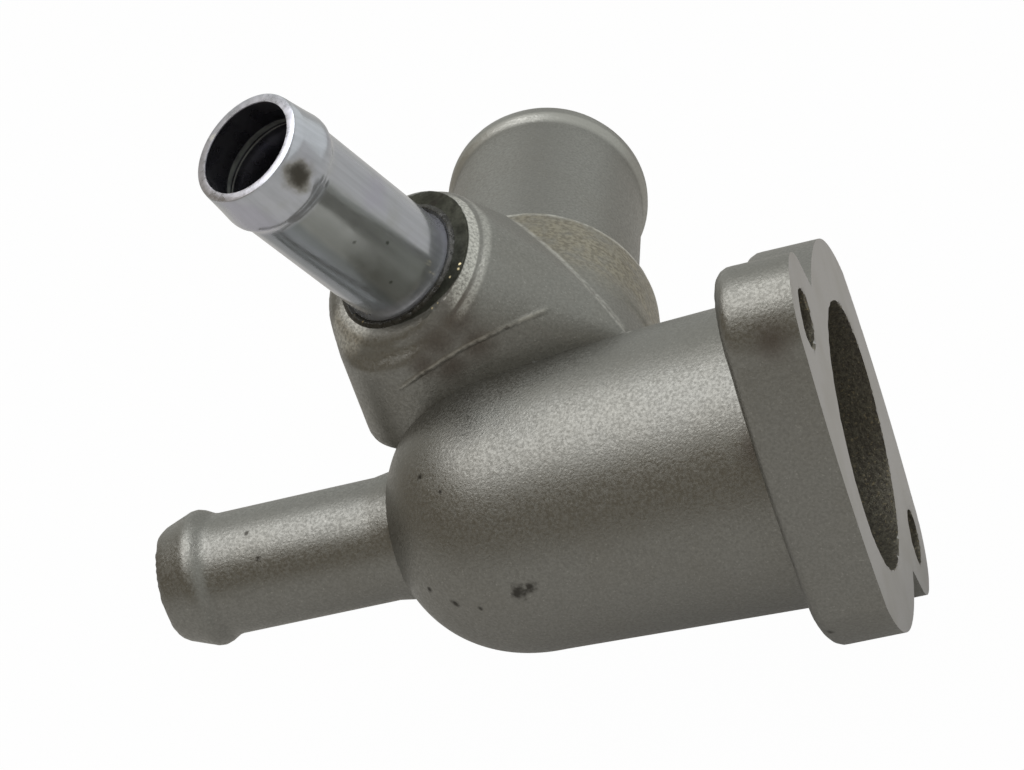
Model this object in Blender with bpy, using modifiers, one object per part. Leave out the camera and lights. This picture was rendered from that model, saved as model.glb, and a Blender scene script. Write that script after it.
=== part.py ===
"""Coolant outlet housing: one aluminium casting with a pressed-in steel pipe.

Frame: origin at the centre of the bore on the mating face, +X out of that face,
+Z up, and the large hose neck leaves along +Y.  Metres.
"""
import math

import bmesh
import bpy
from mathutils import Matrix, Vector

MM = 0.001

# Mating flange
BORE_R = 20.0 * MM
BOLT_SPACING = 70.0 * MM
BOLT_HOLE_R = 4.25 * MM
FLANGE_T = 10.9 * MM
DISC_R = 29.2 * MM
EAR_R = 9.25 * MM
EAR_TILT = math.radians(31.3)
SIDE_NORMAL = math.radians(61.0)
SIDE_MEETS_DISC = math.radians(86.0)
SIDE_BULGE = 2.0 * MM
BACK_EDGE_R = 1.8 * MM

# Chamber, dome and the coaxial hose spigot
CHAMBER_R = 23.4 * MM
CHAMBER_TAPER = 0.0345
DOME_START = 50.0 * MM
DOME_END = 72.5 * MM
DOME_FULLNESS = 0.92
SPIGOT_R = 9.45 * MM
SPIGOT_BEAD_R = 10.55 * MM
SPIGOT_BEAD_AT = 102.6 * MM
SPIGOT_TIP_AT = 108.5 * MM
SPIGOT_TIP_R = 8.3 * MM
SPIGOT_BORE_R = 6.6 * MM
WALL = 3.2 * MM

# Large hose neck with its collar
NECK_FOOT = Vector((-49.4, 18.0, 12.0)) * MM
NECK_DIR = Vector((-0.057, 0.998, 0.0)).normalized()
NECK_LENGTH = 66.0 * MM
NECK_R = 16.1 * MM
NECK_BEAD_R = 17.05 * MM
NECK_BORE_R = 13.0 * MM
COLLAR_R = 20.0 * MM
COLLAR_END = 17.6 * MM
COLLAR_EDGE_R = 2.2 * MM

# Slanted seam between the hub and the collar
SEAM_NORMAL = Vector((0.838, 0.513, 0.1845)).normalized()
SEAM_OFFSET = -17.3 * MM
SEAM_FIRST = -14.0 * MM
SEAM_LAST = 15.5 * MM
SEAM_FROM = math.radians(-100.0)
SEAM_TO = math.radians(75.0)

# Boss for the pressed pipe
PIPE_FOOT = Vector((-61.4, 13.4, 37.5)) * MM
PIPE_DIR = Vector((-0.284, -0.434, 0.855)).normalized()
BOSS_FACE_R = 12.8 * MM
BOSS_R = 13.5 * MM
BOSS_STEP = 1.8 * MM
BOSS_WALL_R = 12.8 * MM
BOSS_BOTTOM = 12.0 * MM

# Pressed pipe
PIPE_R = 8.95 * MM
PIPE_WALL = 1.35 * MM
PIPE_OUT = 35.3 * MM
PIPE_IN = 13.0 * MM
PIPE_BEAD_R = 9.6 * MM
PIPE_BEAD_BACK = 6.9 * MM
FIT_GAP = 0.3 * MM

# Ring of sealant
SEAL_R = 10.5 * MM
SEAL_H = 1.0 * MM

STEPS = 64


def clear_scene():
    for obj in list(bpy.data.objects):
        bpy.data.objects.remove(obj, do_unlink=True)


def collection(name):
    coll = bpy.data.collections.new(name)
    bpy.context.scene.collection.children.link(coll)
    return coll


def material(name, color, metallic, roughness):
    mat = bpy.data.materials.new(name)
    mat.use_nodes = True
    shader = mat.node_tree.nodes["Principled BSDF"]
    shader.inputs["Base Color"].default_value = (*color, 1.0)
    shader.inputs["Metallic"].default_value = metallic
    shader.inputs["Roughness"].default_value = roughness
    mat.diffuse_color = (*color, 1.0)
    return mat


def add_object(name, mesh, coll):
    obj = bpy.data.objects.new(name, mesh)
    coll.objects.link(obj)
    return obj


def baked(obj):
    """Apply every modifier of obj and keep the result as plain mesh."""
    graph = bpy.context.evaluated_depsgraph_get()
    mesh = bpy.data.meshes.new_from_object(obj.evaluated_get(graph))
    obj.modifiers.clear()
    obj.data = mesh
    return obj


def turned(name, profile, coll, origin, axis, steps=STEPS):
    """Solid of revolution: profile is (radius, height) pairs from top to bottom."""
    mesh = bpy.data.meshes.new(name)
    edges = [(i, i + 1) for i in range(len(profile) - 1)]
    mesh.from_pydata([(r, 0.0, h) for r, h in profile], edges, [])
    obj = add_object(name, mesh, coll)
    screw = obj.modifiers.new("turn", "SCREW")
    screw.axis = "Z"
    screw.steps = steps
    screw.render_steps = steps
    screw.use_merge_vertices = True
    screw.merge_threshold = 0.00001
    bpy.context.view_layer.update()
    baked(obj)
    turn = axis.to_track_quat("Z", "Y").to_matrix().to_4x4()
    obj.data.transform(Matrix.Translation(origin) @ turn)
    return obj


def arc(center, radius, start, end, count):
    """Points on a circle in the profile plane, angles in radians."""
    points = []
    for i in range(count + 1):
        angle = start + (end - start) * i / count
        points.append((center[0] + radius * math.cos(angle), center[1] + radius * math.sin(angle)))
    return points


def boolean(obj, tool, operation):
    mod = obj.modifiers.new(operation.lower(), "BOOLEAN")
    mod.operation = operation
    mod.solver = "EXACT"
    mod.object = tool
    tool.hide_render = True
    tool.display_type = "WIRE"


def chamber_radius(depth):
    return CHAMBER_R - CHAMBER_TAPER * depth


def dome_profile(offset, count):
    """Quarter ellipse from the chamber wall to the spigot, drawn inward by offset."""
    wide = chamber_radius(DOME_START) - offset
    deep = DOME_END - DOME_START - offset
    points = []
    for i in range(count + 1):
        angle = 0.5 * math.pi * i / count
        radius = wide * math.cos(angle) ** DOME_FULLNESS
        points.append((radius, DOME_START + deep * math.sin(angle) ** DOME_FULLNESS))
    return points


def body_outside(coll):
    """Chamber, dome and coaxial spigot; height runs from the spigot tip to the flange."""
    dome = [p for p in dome_profile(0.0, 16) if p[0] > SPIGOT_R + 1.2 * MM]
    root = DOME_END + 0.1 * MM
    profile = [(0.0, -SPIGOT_TIP_AT), (SPIGOT_TIP_R, -SPIGOT_TIP_AT)]
    profile += [(SPIGOT_TIP_R + 0.5 * MM, -SPIGOT_TIP_AT + 0.6 * MM)]
    profile += [(SPIGOT_BEAD_R, -SPIGOT_BEAD_AT - 0.6 * MM), (SPIGOT_BEAD_R, -SPIGOT_BEAD_AT + 0.2 * MM)]
    profile += [(SPIGOT_R, -SPIGOT_BEAD_AT + 1.9 * MM), (SPIGOT_R, -root - 1.0 * MM)]
    profile += [(SPIGOT_R + 0.4 * MM, -root)]
    profile += [(r, -h) for r, h in reversed(dome)]
    profile += [(chamber_radius(FLANGE_T * 0.5), -FLANGE_T * 0.5), (0.0, -FLANGE_T * 0.5)]
    profile.reverse()
    return turned("housing", profile, coll, Vector((0.0, 0.0, 0.0)), Vector((1.0, 0.0, 0.0)))


def body_core(coll):
    """Hollow of the chamber, its domed end and the spigot bore."""
    dome = [p for p in dome_profile(WALL, 12) if p[0] > SPIGOT_BORE_R + 0.6 * MM]
    profile = [(0.0, 1.0 * MM), (BORE_R, 1.0 * MM), (BORE_R, -FLANGE_T)]
    profile += [(r, -h) for r, h in dome]
    profile += [(SPIGOT_BORE_R, -DOME_END + 0.4 * WALL), (SPIGOT_BORE_R, -SPIGOT_TIP_AT - 1.0 * MM)]
    profile += [(0.0, -SPIGOT_TIP_AT - 1.0 * MM)]
    return turned("core_chamber", profile, coll, Vector((0.0, 0.0, 0.0)), Vector((1.0, 0.0, 0.0)))


def flange_outline():
    """Disc with two ears; one flank of each ear is drawn out to the disc, the other meets it in a notch."""
    half = 0.5 * BOLT_SPACING
    points = []
    ear_start = Vector((half + EAR_R * math.cos(SIDE_NORMAL), EAR_R * math.sin(SIDE_NORMAL)))
    disc_end = Vector((DISC_R * math.cos(SIDE_MEETS_DISC), DISC_R * math.sin(SIDE_MEETS_DISC)))
    chord = disc_end - ear_start
    outward = Vector((-chord.y, chord.x)).normalized() * -1.0
    notch_angle = math.asin(EAR_R / DISC_R)
    for i in range(10):
        angle = -0.5 * math.pi + (0.5 * math.pi + SIDE_NORMAL) * i / 9
        points.append(Vector((half + EAR_R * math.cos(angle), EAR_R * math.sin(angle))))
    for i in range(1, 8):
        step = i / 8
        bulge = 4.0 * step * (1.0 - step) * SIDE_BULGE
        points.append(ear_start + chord * step + outward * bulge)
    for i in range(13):
        angle = SIDE_MEETS_DISC + (math.pi - notch_angle - SIDE_MEETS_DISC) * i / 12
        points.append(Vector((DISC_R * math.cos(angle), DISC_R * math.sin(angle))))
    return points + [-p for p in points]


def flange(coll):
    """Outline in the mating plane, drawn back by the thickness, with soft rear edges."""
    ear_dir = Vector((0.0, -math.sin(EAR_TILT), math.cos(EAR_TILT)))
    side_dir = Vector((1.0, 0.0, 0.0)).cross(ear_dir)
    bm = bmesh.new()
    verts = [bm.verts.new(ear_dir * p.x + side_dir * p.y) for p in flange_outline()]
    face = bm.faces.new(verts)
    if face.normal.x < 0.0:
        face.normal_flip()
    grown = bmesh.ops.extrude_face_region(bm, geom=[face])
    moved = [g for g in grown["geom"] if isinstance(g, bmesh.types.BMVert)]
    bmesh.ops.translate(bm, verts=moved, vec=(-FLANGE_T, 0.0, 0.0))
    bmesh.ops.recalc_face_normals(bm, faces=bm.faces)
    rear = [e for e in bm.edges if all(v.co.x < -0.5 * FLANGE_T for v in e.verts)]
    bmesh.ops.bevel(bm, geom=rear, offset=BACK_EDGE_R, segments=3, profile=0.5, affect="EDGES")
    mesh = bpy.data.meshes.new("flange")
    bm.to_mesh(mesh)
    bm.free()
    return add_object("flange", mesh, coll)


def neck_outside(coll):
    """Collar and hose neck, from the neck's end back to the hub."""
    length = NECK_LENGTH
    edge = COLLAR_EDGE_R
    profile = [(0.0, length), (NECK_BEAD_R - 1.6 * MM, length), (NECK_BEAD_R - 0.6 * MM, length - 0.7 * MM)]
    profile += [(NECK_BEAD_R, length - 2.4 * MM), (NECK_BEAD_R, length - 3.6 * MM)]
    profile += [(NECK_R, length - 6.4 * MM), (NECK_R - 0.3 * MM, COLLAR_END)]
    profile += arc((COLLAR_R - edge - 0.8 * MM, COLLAR_END - edge), edge, 0.5 * math.pi, 0.1, 4)
    profile += [(COLLAR_R, COLLAR_END - 8.0 * MM), (COLLAR_R, 0.0), (0.0, 0.0)]
    return turned("neck", profile, coll, NECK_FOOT, NECK_DIR)


def neck_core(coll):
    """Bore of the neck, drawn to a cone where it runs into the chamber."""
    profile = [(0.0, NECK_LENGTH + 1.0 * MM), (NECK_BORE_R, NECK_LENGTH + 1.0 * MM)]
    profile += [(NECK_BORE_R, -1.5 * MM), (0.7 * NECK_BORE_R, -4.5 * MM), (0.0, -15.0 * MM)]
    return turned("core_neck", profile, coll, NECK_FOOT, NECK_DIR, 48)


def ring_points(center, axis, radius, count):
    turn = axis.to_track_quat("Z", "Y")
    points = []
    for i in range(count):
        angle = 2.0 * math.pi * i / count
        points.append(center + turn @ Vector((radius * math.cos(angle), radius * math.sin(angle), 0.0)))
    return points


def collar_seam(radius, count):
    """Slanted line round the collar where the hub's flat front ends."""
    side = NECK_DIR.cross(Vector((0.0, 0.0, 1.0)))
    points = []
    for i in range(count + 1):
        angle = SEAM_FROM + (SEAM_TO - SEAM_FROM) * i / count
        spoke = side * math.sin(angle) + Vector((0.0, 0.0, math.cos(angle)))
        point = NECK_FOOT + spoke * radius
        along = (SEAM_OFFSET - point.dot(SEAM_NORMAL)) / NECK_DIR.dot(SEAM_NORMAL)
        points.append(point + NECK_DIR * min(max(along, SEAM_FIRST), SEAM_LAST))
    return points


def hull(name, points, coll):
    bm = bmesh.new()
    for point in points:
        bm.verts.new(point)
    result = bmesh.ops.convex_hull(bm, input=bm.verts)
    loose = [g for g in result["geom_interior"] if isinstance(g, bmesh.types.BMVert)]
    bmesh.ops.delete(bm, geom=loose, context="VERTS")
    bmesh.ops.recalc_face_normals(bm, faces=bm.faces)
    mesh = bpy.data.meshes.new(name)
    bm.to_mesh(mesh)
    bm.free()
    return add_object(name, mesh, coll)


def collar_root(coll):
    """The collar's cylinder carried on behind the seam, down into the chamber."""
    points = ring_points(NECK_FOOT + NECK_DIR * 3.0 * MM, NECK_DIR, COLLAR_R - 0.05 * MM, STEPS)
    points += collar_seam(COLLAR_R - 0.05 * MM, 36)
    return hull("collar_root", points, coll)


def hub(coll):
    """Hull round the boss column and the seam where the body meets the collar."""
    up = Vector((0.0, 0.0, 1.0))
    points = ring_points(PIPE_FOOT - PIPE_DIR * (BOSS_STEP + 0.2 * MM), PIPE_DIR, BOSS_R + 0.35 * MM, 48)
    column = Vector((PIPE_FOOT.x, PIPE_FOOT.y, 0.0))
    points += ring_points(column + up * 27.5 * MM, up, BOSS_WALL_R, 48)
    points += ring_points(column + up * (BOSS_BOTTOM + 1.5 * MM), up, BOSS_WALL_R, 48)
    points += ring_points(column + up * BOSS_BOTTOM, up, BOSS_WALL_R - 2.5 * MM, 48)
    points += collar_seam(COLLAR_R + 0.4 * MM, 36)
    return hull("hub", points, coll)


def boss(coll):
    """Round pad that the pipe is pressed into, with a sloped shoulder."""
    profile = [(0.0, 0.0), (BOSS_FACE_R, 0.0), (BOSS_R, -BOSS_STEP)]
    profile += [(BOSS_R, -BOSS_STEP - 6.0 * MM), (0.0, -BOSS_STEP - 6.0 * MM)]
    return turned("boss", profile, coll, PIPE_FOOT, PIPE_DIR)


def pipe_core(coll):
    """Stepped hole: press fit for the pipe, then the passage down to the neck's bore."""
    fit = PIPE_R + FIT_GAP
    passage = PIPE_R - PIPE_WALL
    profile = [(0.0, 1.0 * MM), (fit, 1.0 * MM), (fit, -PIPE_IN - FIT_GAP), (passage, -PIPE_IN - FIT_GAP)]
    profile += [(passage, -24.0 * MM), (0.0, -24.0 * MM)]
    return turned("core_pipe", profile, coll, PIPE_FOOT, PIPE_DIR, 48)


def bolt_hole(coll, side):
    ear_dir = Vector((0.0, -math.sin(EAR_TILT), math.cos(EAR_TILT)))
    center = ear_dir * (side * 0.5 * BOLT_SPACING)
    profile = [(0.0, 1.0 * MM), (BOLT_HOLE_R, 1.0 * MM), (BOLT_HOLE_R, -FLANGE_T - 1.0 * MM)]
    profile += [(0.0, -FLANGE_T - 1.0 * MM)]
    return turned("bolt_hole", profile, coll, center, Vector((1.0, 0.0, 0.0)), 32)


def finish(obj, mat, angle):
    baked(obj)
    mesh = obj.data
    bm = bmesh.new()
    bm.from_mesh(mesh)
    bmesh.ops.remove_doubles(bm, verts=bm.verts, dist=0.000005)
    bmesh.ops.recalc_face_normals(bm, faces=bm.faces)
    bm.to_mesh(mesh)
    bm.free()
    mesh.shade_smooth()
    mesh.set_sharp_from_angle(angle=math.radians(angle))
    mesh.materials.clear()
    mesh.materials.append(mat)


def build_housing(parts, cutters):
    body = body_outside(parts)
    for tool in (flange(cutters), neck_outside(cutters), collar_root(cutters), hub(cutters), boss(cutters)):
        boolean(body, tool, "UNION")
    for tool in (body_core(cutters), neck_core(cutters), pipe_core(cutters)):
        boolean(body, tool, "DIFFERENCE")
    for side in (1.0, -1.0):
        boolean(body, bolt_hole(cutters, side), "DIFFERENCE")
    finish(body, material("cast_aluminium", (0.42, 0.41, 0.39), 0.85, 0.5), 35.0)


def build_pipe(parts):
    """Thin tube with a rolled bead behind its mouth."""
    inner = PIPE_R - PIPE_WALL
    out = PIPE_OUT
    back = out - PIPE_BEAD_BACK
    outside = [(PIPE_R - 0.1 * MM, out - 0.2 * MM), (PIPE_R + 0.4 * MM, out - 3.0 * MM)]
    outside += [(PIPE_BEAD_R, back + 0.9 * MM), (PIPE_BEAD_R, back - 0.3 * MM), (PIPE_R, back - 1.5 * MM)]
    outside += [(PIPE_R, -PIPE_IN)]
    inside = [(inner, -PIPE_IN), (inner, back - 1.5 * MM), (inner + 0.55 * MM, back)]
    inside += [(inner + 0.1 * MM, back + 2.0 * MM), (inner + 0.1 * MM, out - 0.3 * MM)]
    inside += [(inner + 0.3 * MM, out), (PIPE_R - 0.3 * MM, out)]
    profile = outside + inside + [outside[0]]
    obj = turned("pipe", profile, parts, PIPE_FOOT, PIPE_DIR)
    finish(obj, material("plated_steel", (0.6, 0.62, 0.66), 1.0, 0.25), 35.0)


def build_sealant(parts):
    """Low ring round the foot of the pipe, on the face of the boss."""
    inner = PIPE_R + FIT_GAP
    profile = [(inner, SEAL_H), (inner + 0.4 * MM, SEAL_H), (SEAL_R - 0.3 * MM, FIT_GAP + 0.35 * MM)]
    profile += [(SEAL_R, FIT_GAP), (inner, FIT_GAP), (inner, SEAL_H)]
    obj = turned("sealant", profile, parts, PIPE_FOOT, PIPE_DIR)
    finish(obj, material("cured_sealant", (0.03, 0.03, 0.03), 0.0, 0.4), 35.0)


def main():
    clear_scene()
    parts = collection("coolant_outlet_housing")
    cutters = collection("cutters")
    build_housing(parts, cutters)
    build_pipe(parts)
    build_sealant(parts)


main()
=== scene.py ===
"""Looks of a coolant outlet housing: blasted aluminium casting, bright plated pipe, black sealant.

Frame: origin at the centre of the bore on the mating face, +X out of that face, +Z up,
and the large hose neck leaves along +Y. Lengths are in millimetres until a mesh, a lamp or
the floor is made. Tones are linear colours.
"""
import math

import bmesh
import bpy
import numpy as np
from mathutils import Matrix, Vector

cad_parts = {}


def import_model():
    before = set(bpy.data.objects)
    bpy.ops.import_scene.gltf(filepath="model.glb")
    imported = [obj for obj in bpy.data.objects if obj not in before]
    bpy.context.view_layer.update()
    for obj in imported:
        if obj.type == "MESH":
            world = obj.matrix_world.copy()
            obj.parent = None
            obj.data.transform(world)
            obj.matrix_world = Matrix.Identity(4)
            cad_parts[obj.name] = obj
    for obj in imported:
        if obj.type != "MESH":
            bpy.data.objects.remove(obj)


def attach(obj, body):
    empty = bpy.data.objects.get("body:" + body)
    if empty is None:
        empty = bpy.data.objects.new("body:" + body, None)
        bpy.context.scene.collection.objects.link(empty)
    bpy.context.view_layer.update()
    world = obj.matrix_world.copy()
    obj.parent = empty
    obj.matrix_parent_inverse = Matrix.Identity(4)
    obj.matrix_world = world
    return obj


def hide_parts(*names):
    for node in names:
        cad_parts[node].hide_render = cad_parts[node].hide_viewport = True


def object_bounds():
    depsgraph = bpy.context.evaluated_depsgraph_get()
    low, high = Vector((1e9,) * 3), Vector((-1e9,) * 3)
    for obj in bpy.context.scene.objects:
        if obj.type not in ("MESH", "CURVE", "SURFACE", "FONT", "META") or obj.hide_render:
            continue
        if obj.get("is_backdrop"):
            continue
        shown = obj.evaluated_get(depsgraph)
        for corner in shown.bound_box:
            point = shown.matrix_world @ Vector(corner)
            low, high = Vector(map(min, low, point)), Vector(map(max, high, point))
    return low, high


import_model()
cad_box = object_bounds()

MM = 0.001

# Mesh: cell of the casting's grid, room round the solids in the distance tables, angles that count as edges
CELL = 0.8
CASTING_BOX = ((-110.3, -33.1, -43.2), (1.1, 88.0, 48.0))
ROOT_BOX = ((-76.0, -6.0, -14.0), (-22.0, 40.0, 38.0))
HUB_BOX = ((-82.0, -8.0, -18.0), (-20.0, 46.0, 54.0))
HULL_STEP = 0.6
ROOT_BLUR = 0.35
HUB_BLUR = 0.55
TABLE_END_ROOM = 25.0
TABLE_SIDE_ROOM = 45.0
SLOPE_STEP = 0.06
PULL_TO_MIDDLE = 0.08
CROSSING_STEPS = 3
VALLEY_NEAR = 0.15
VALLEY_STEPS = 4
CASTING_CREASE = 32.0
PIPE_CREASE = 40.0
SEALANT_CREASE = 50.0

# Sizes of the part
BORE_R = 20.0
BOLT_SPACING = 70.0
BOLT_HOLE_R = 4.25
FLANGE_T = 10.9
DISC_R = 29.2
EAR_R = 9.25
EAR_TILT = math.radians(31.3)
SIDE_NORMAL = math.radians(61.0)
SIDE_MEETS_DISC = math.radians(86.0)
SIDE_BULGE = 2.0
REAR_EDGE_R = 2.3
FRONT_SPARE = 6.0
MACHINED_DEPTH = 0.35
MACHINED_FACING = 0.8
BORE_NEAR = 0.25

CHAMBER_R = 23.4
CHAMBER_TAPER = 0.0345
DOME_START = 50.0
DOME_END = 72.5
DOME_FULLNESS = 0.92
SPIGOT_R = 9.45
SPIGOT_BEAD_R = 10.55
SPIGOT_BEAD_AT = 102.6
SPIGOT_TIP_AT = 108.5
SPIGOT_TIP_R = 8.3
SPIGOT_BORE_R = 6.6
WALL = 3.2

NECK_FOOT = np.array([-49.4, 18.0, 12.0])
NECK_DIR = np.array([-0.057, 0.998, 0.0])
NECK_DIR /= np.linalg.norm(NECK_DIR)
NECK_LENGTH = 66.0
NECK_R = 16.1
NECK_BEAD_R = 17.05
NECK_BORE_R = 13.0
COLLAR_R = 20.0
COLLAR_END = 17.6
COLLAR_EDGE_R = 0.9
COLLAR_START = -14.0

SEAM_NORMAL = np.array([0.838, 0.513, 0.1845])
SEAM_NORMAL /= np.linalg.norm(SEAM_NORMAL)
SEAM_OFFSET = -17.3
SEAM_TURN = (-100.0, 75.0)
SEAM_LAST = 16.0
SEAM_POINTS = 60

PIPE_FOOT = np.array([-61.4, 13.4, 37.5])
PIPE_DIR = np.array([-0.284, -0.434, 0.855])
PIPE_DIR /= np.linalg.norm(PIPE_DIR)
BOSS_FACE_R = 12.8
BOSS_R = 13.5
BOSS_STEP = 1.8
BOSS_WALL_R = 12.8
BOSS_BOTTOM = 12.0
BOSS_WALL_TOP = 27.5
BOSS_POINTS = 72
BOSS_BLEND_FROM = 1.0
BOSS_BLEND_WIDTH = 7.0

PIPE_R = 8.95
PIPE_WALL = 1.35
PIPE_OUT = 35.3
PIPE_IN = 13.0
FIT_GAP = 0.3

# Fillets between the forms of the casting; the one at the boss's worn side is wider
FLANGE_FILLET = 1.0
NECK_FILLET = 0.8
HUB_FILLET = 0.6
WORN_FILLET = 1.8

# Radius and height above the boss's face, on its rounded side
BOSS_WORN_PROFILE = (
    (0.0, -9.0), (13.6, -9.0), (13.85, -4.0), (13.85, -2.6), (13.65, -1.7), (13.2, -0.9),
    (12.6, -0.35), (11.9, -0.08), (11.2, 0.0), (0.0, 0.0),
)
# Radius and depth below the mouth, outside the pipe: rim, bead and start of the straight part
PIPE_MOUTH_OUTSIDE = (
    (8.63, 0.0), (8.76, 0.09), (8.72, 0.35), (8.86, 0.6), (9.02, 2.0), (9.28, 4.2), (9.48, 5.6),
    (9.58, 6.3), (9.6, 6.8), (9.55, 7.25), (9.35, 7.8), (9.12, 8.25), (8.99, 8.7), (PIPE_R, 9.2),
)
# Width beyond the passage and depth below the mouth, inside the pipe
PIPE_MOUTH_INSIDE = (
    (0.05, 9.0), (0.4, 8.2), (0.62, 7.2), (0.5, 6.2), (0.2, 5.2), (0.12, 3.0), (-0.05, 0.8),
    (-0.22, 0.12), (-0.16, 0.0),
)
# Width beyond the pipe and height above the boss's face, where the pipe flares at its foot
PIPE_FLARE = ((0.03, 1.4), (0.12, 0.7), (0.28, 0.25), (0.32, 0.05), (0.0, 0.0))
SEALANT_INNER_R = PIPE_R + 0.02
SEALANT_PROFILE = (
    (SEALANT_INNER_R, 0.04), (9.48, 0.12), (9.62, 0.34), (9.85, 0.40), (10.15, 0.3),
    (10.5, 0.02), (10.5, -0.3), (SEALANT_INNER_R, -0.3),
)

# Dark coat on the boss's face round the pipe: partly sealant residue, partly painted shade from the pipe
BOSS_COAT_AND_SHADE_AT = (-59.2, 13.7, 38.4)
BOSS_COAT_AND_SHADE_R = 11.3
# Side where the boss is crisp; its shoulder there carries a painted highlight
BOSS_BRIGHT_SIDE = (0.958, -0.174, 0.230)
PARTING_Z = 28.1
PARTING_CURVE = 0.0105
PARTING_LEVEL_FROM = -44.0
PARTING_HALF = 0.65
# Centre of a painted highlight on the column's left flank
FLANK_HIGHLIGHT_AT = (-70.6, 8.4, 32.4)

# Tones
WHITE = (1.0, 1.0, 1.0, 1.0)
TAN_DARK = (0.23, 0.208, 0.160, 1.0)
TAN_LIGHT = (0.40, 0.37, 0.29, 1.0)
STAIN_TONE = (0.088, 0.063, 0.047, 1.0)
COAT_AND_SHADE_DARK = (0.038, 0.039, 0.031, 1.0)
COAT_AND_SHADE_LIGHT = (0.066, 0.068, 0.055, 1.0)
PAINTED_GLINT_TONE = (0.95, 0.82, 0.52, 1.0)
PIT_TONE = (0.03, 0.027, 0.023, 1.0)
PAINTED_UNDER_SHADE = (0.085, 0.078, 0.070, 1.0)
MACHINED_DARK = (0.42, 0.415, 0.42, 1.0)
MACHINED_LIGHT = (0.52, 0.515, 0.525, 1.0)
BORE_DARK = (0.12, 0.11, 0.094, 1.0)
BORE_LIGHT = (0.20, 0.188, 0.152, 1.0)
BORE_SPECK = (0.60, 0.50, 0.30, 1.0)
PLATED_DARK = (0.555, 0.585, 0.65, 1.0)
PLATED_LIGHT = (0.65, 0.68, 0.76, 1.0)
PLATED_OLIVE = (0.45, 0.47, 0.42, 1.0)
PLATED_LILAC = (0.54, 0.53, 0.68, 1.0)
PIPE_PIT_TONE = (0.07, 0.075, 0.065, 1.0)
SMUDGE_EDGE = (0.24, 0.22, 0.15, 1.0)
SMUDGE_TONE = (0.045, 0.040, 0.028, 1.0)
INSIDE_DARK = (0.20, 0.20, 0.24, 1.0)
INSIDE_LIGHT = (0.28, 0.28, 0.32, 1.0)
PAINTED_GROOVE_HIGHLIGHT = (0.90, 0.94, 0.90, 1.0)
PAINTED_LINE_HIGHLIGHT = (0.95, 0.95, 0.92, 1.0)
RIM_DARK = (0.50, 0.51, 0.57, 1.0)
RIM_LIGHT = (0.70, 0.70, 0.78, 1.0)
SEALANT_DARK = (0.010, 0.010, 0.009, 1.0)
SEALANT_LIGHT = (0.035, 0.034, 0.028, 1.0)
PAINTED_GLINT_FLECK_TONE = (0.45, 0.36, 0.18, 1.0)

# Studio: the floor, the room that the object reflects, the lamp and the camera
FLOOR_HALF = 6.0
FLOOR_TONE = (0.50, 0.48, 0.45, 1.0)
FLOOR_SEEN = 0.985
FLOOR_MIRRORED = 0.16
ROOM_BRIGHT_WAY = (0.8, 0.6, 0.0)
ROOM_DIM = (0.235, 0.203, 0.153, 1.0)
ROOM_BRIGHT = (0.70, 0.71, 0.675, 1.0)
STRIP_HALF = 0.36
STRIP_SHARE = 0.4
STRIP_TONE = (0.20, 0.185, 0.17, 1.0)
SOFTBOX_AT = (-0.229, -0.055, 0.777)
SOFTBOX_AIM = (-0.05, 0.02, 0.0)
SOFTBOX_SIDE = 0.76
SOFTBOX_WATTS = 3.35
CAMERA_X = (0.946, -0.2170, -0.2438)
CAMERA_Y = (0.1108, -0.4941, 0.8623)
CAMERA_OFFSET = (51.12, 7.19, 435.24)
LENS_PIXELS = 3000.0
PHOTO_WIDTH = 1024.0
SENSOR_WIDTH = 36.0

# Marks, each a place and a radius: stains, pits and specks of use, and glints and rim sparkles that are
# painted highlights
STAINS = (
    ((-51.6, 5.4, 36.6), 2.6),
    ((-52.0, 4.2, 34.2), 2.8),
    ((-52.8, 3.0, 31.6), 3.0),
    ((-56.0, 1.6, 29.6), 3.0),
    ((-59.0, 0.8, 26.8), 2.2),
    ((-51.0, 2.8, 27.2), 2.8),
    ((-55.5, 1.8, 25.0), 2.6),
    ((-11.5, -19.3, 12.5), 2.8),
    ((-4.0, -27.2, 32.5), 2.8),
)
PITS = (
    ((-50.7, -21.7, -0.9), 1.7),
    ((-48.9, -21.9, -0.4), 1.2),
    ((-61.2, -19.3, -1.9), 0.9),
    ((-57.5, -20.5, -2.8), 0.6),
    ((-64.8, -17.1, -0.1), 0.7),
    ((-61.9, -11.3, 15.3), 0.6),
    ((-58.7, -14.7, 14.1), 0.4),
    ((-91.5, -7.5, 5.8), 0.6),
    ((-93.0, -4.1, 8.5), 0.5),
    ((-9.1, -24.1, -16.4), 0.9),
    ((-46.2, 4.2, 28.0), 0.5),
    ((-54.8, 20.1, 43.1), 0.9),
    ((-53.2, 20.5, 43.8), 0.7),
)
# Painted highlights: small golden glints on the boss beside the sealant
PAINTED_GLINTS = (
    ((-50.6, 7.5, 38.1), 0.32),
    ((-50.9, 6.9, 37.7), 0.28),
    ((-52.4, 6.4, 37.0), 0.30),
    ((-54.6, 3.5, 34.7), 0.26),
    ((-55.6, 3.2, 34.3), 0.26),
)
PIPE_PITS = (
    ((-61.7, -1.2, 49.3), 0.38),
    ((-58.2, 2.3, 46.4), 0.38),
    ((-59.9, 2.8, 40.0), 0.42),
)
# Painted highlights: white sparkles on the pipe's rim
RIM_PAINTED_SPARKLES = (
    ((-64.3, -6.9, 67.4), 0.45),
    ((-65.3, -8.0, 66.5), 0.5),
    ((-66.3, -8.7, 65.8), 0.5),
    ((-77.1, 3.3, 68.2), 0.7),
)
PIPE_SMUDGE_AT = (-63.9, -7.0, 63.6)
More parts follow.
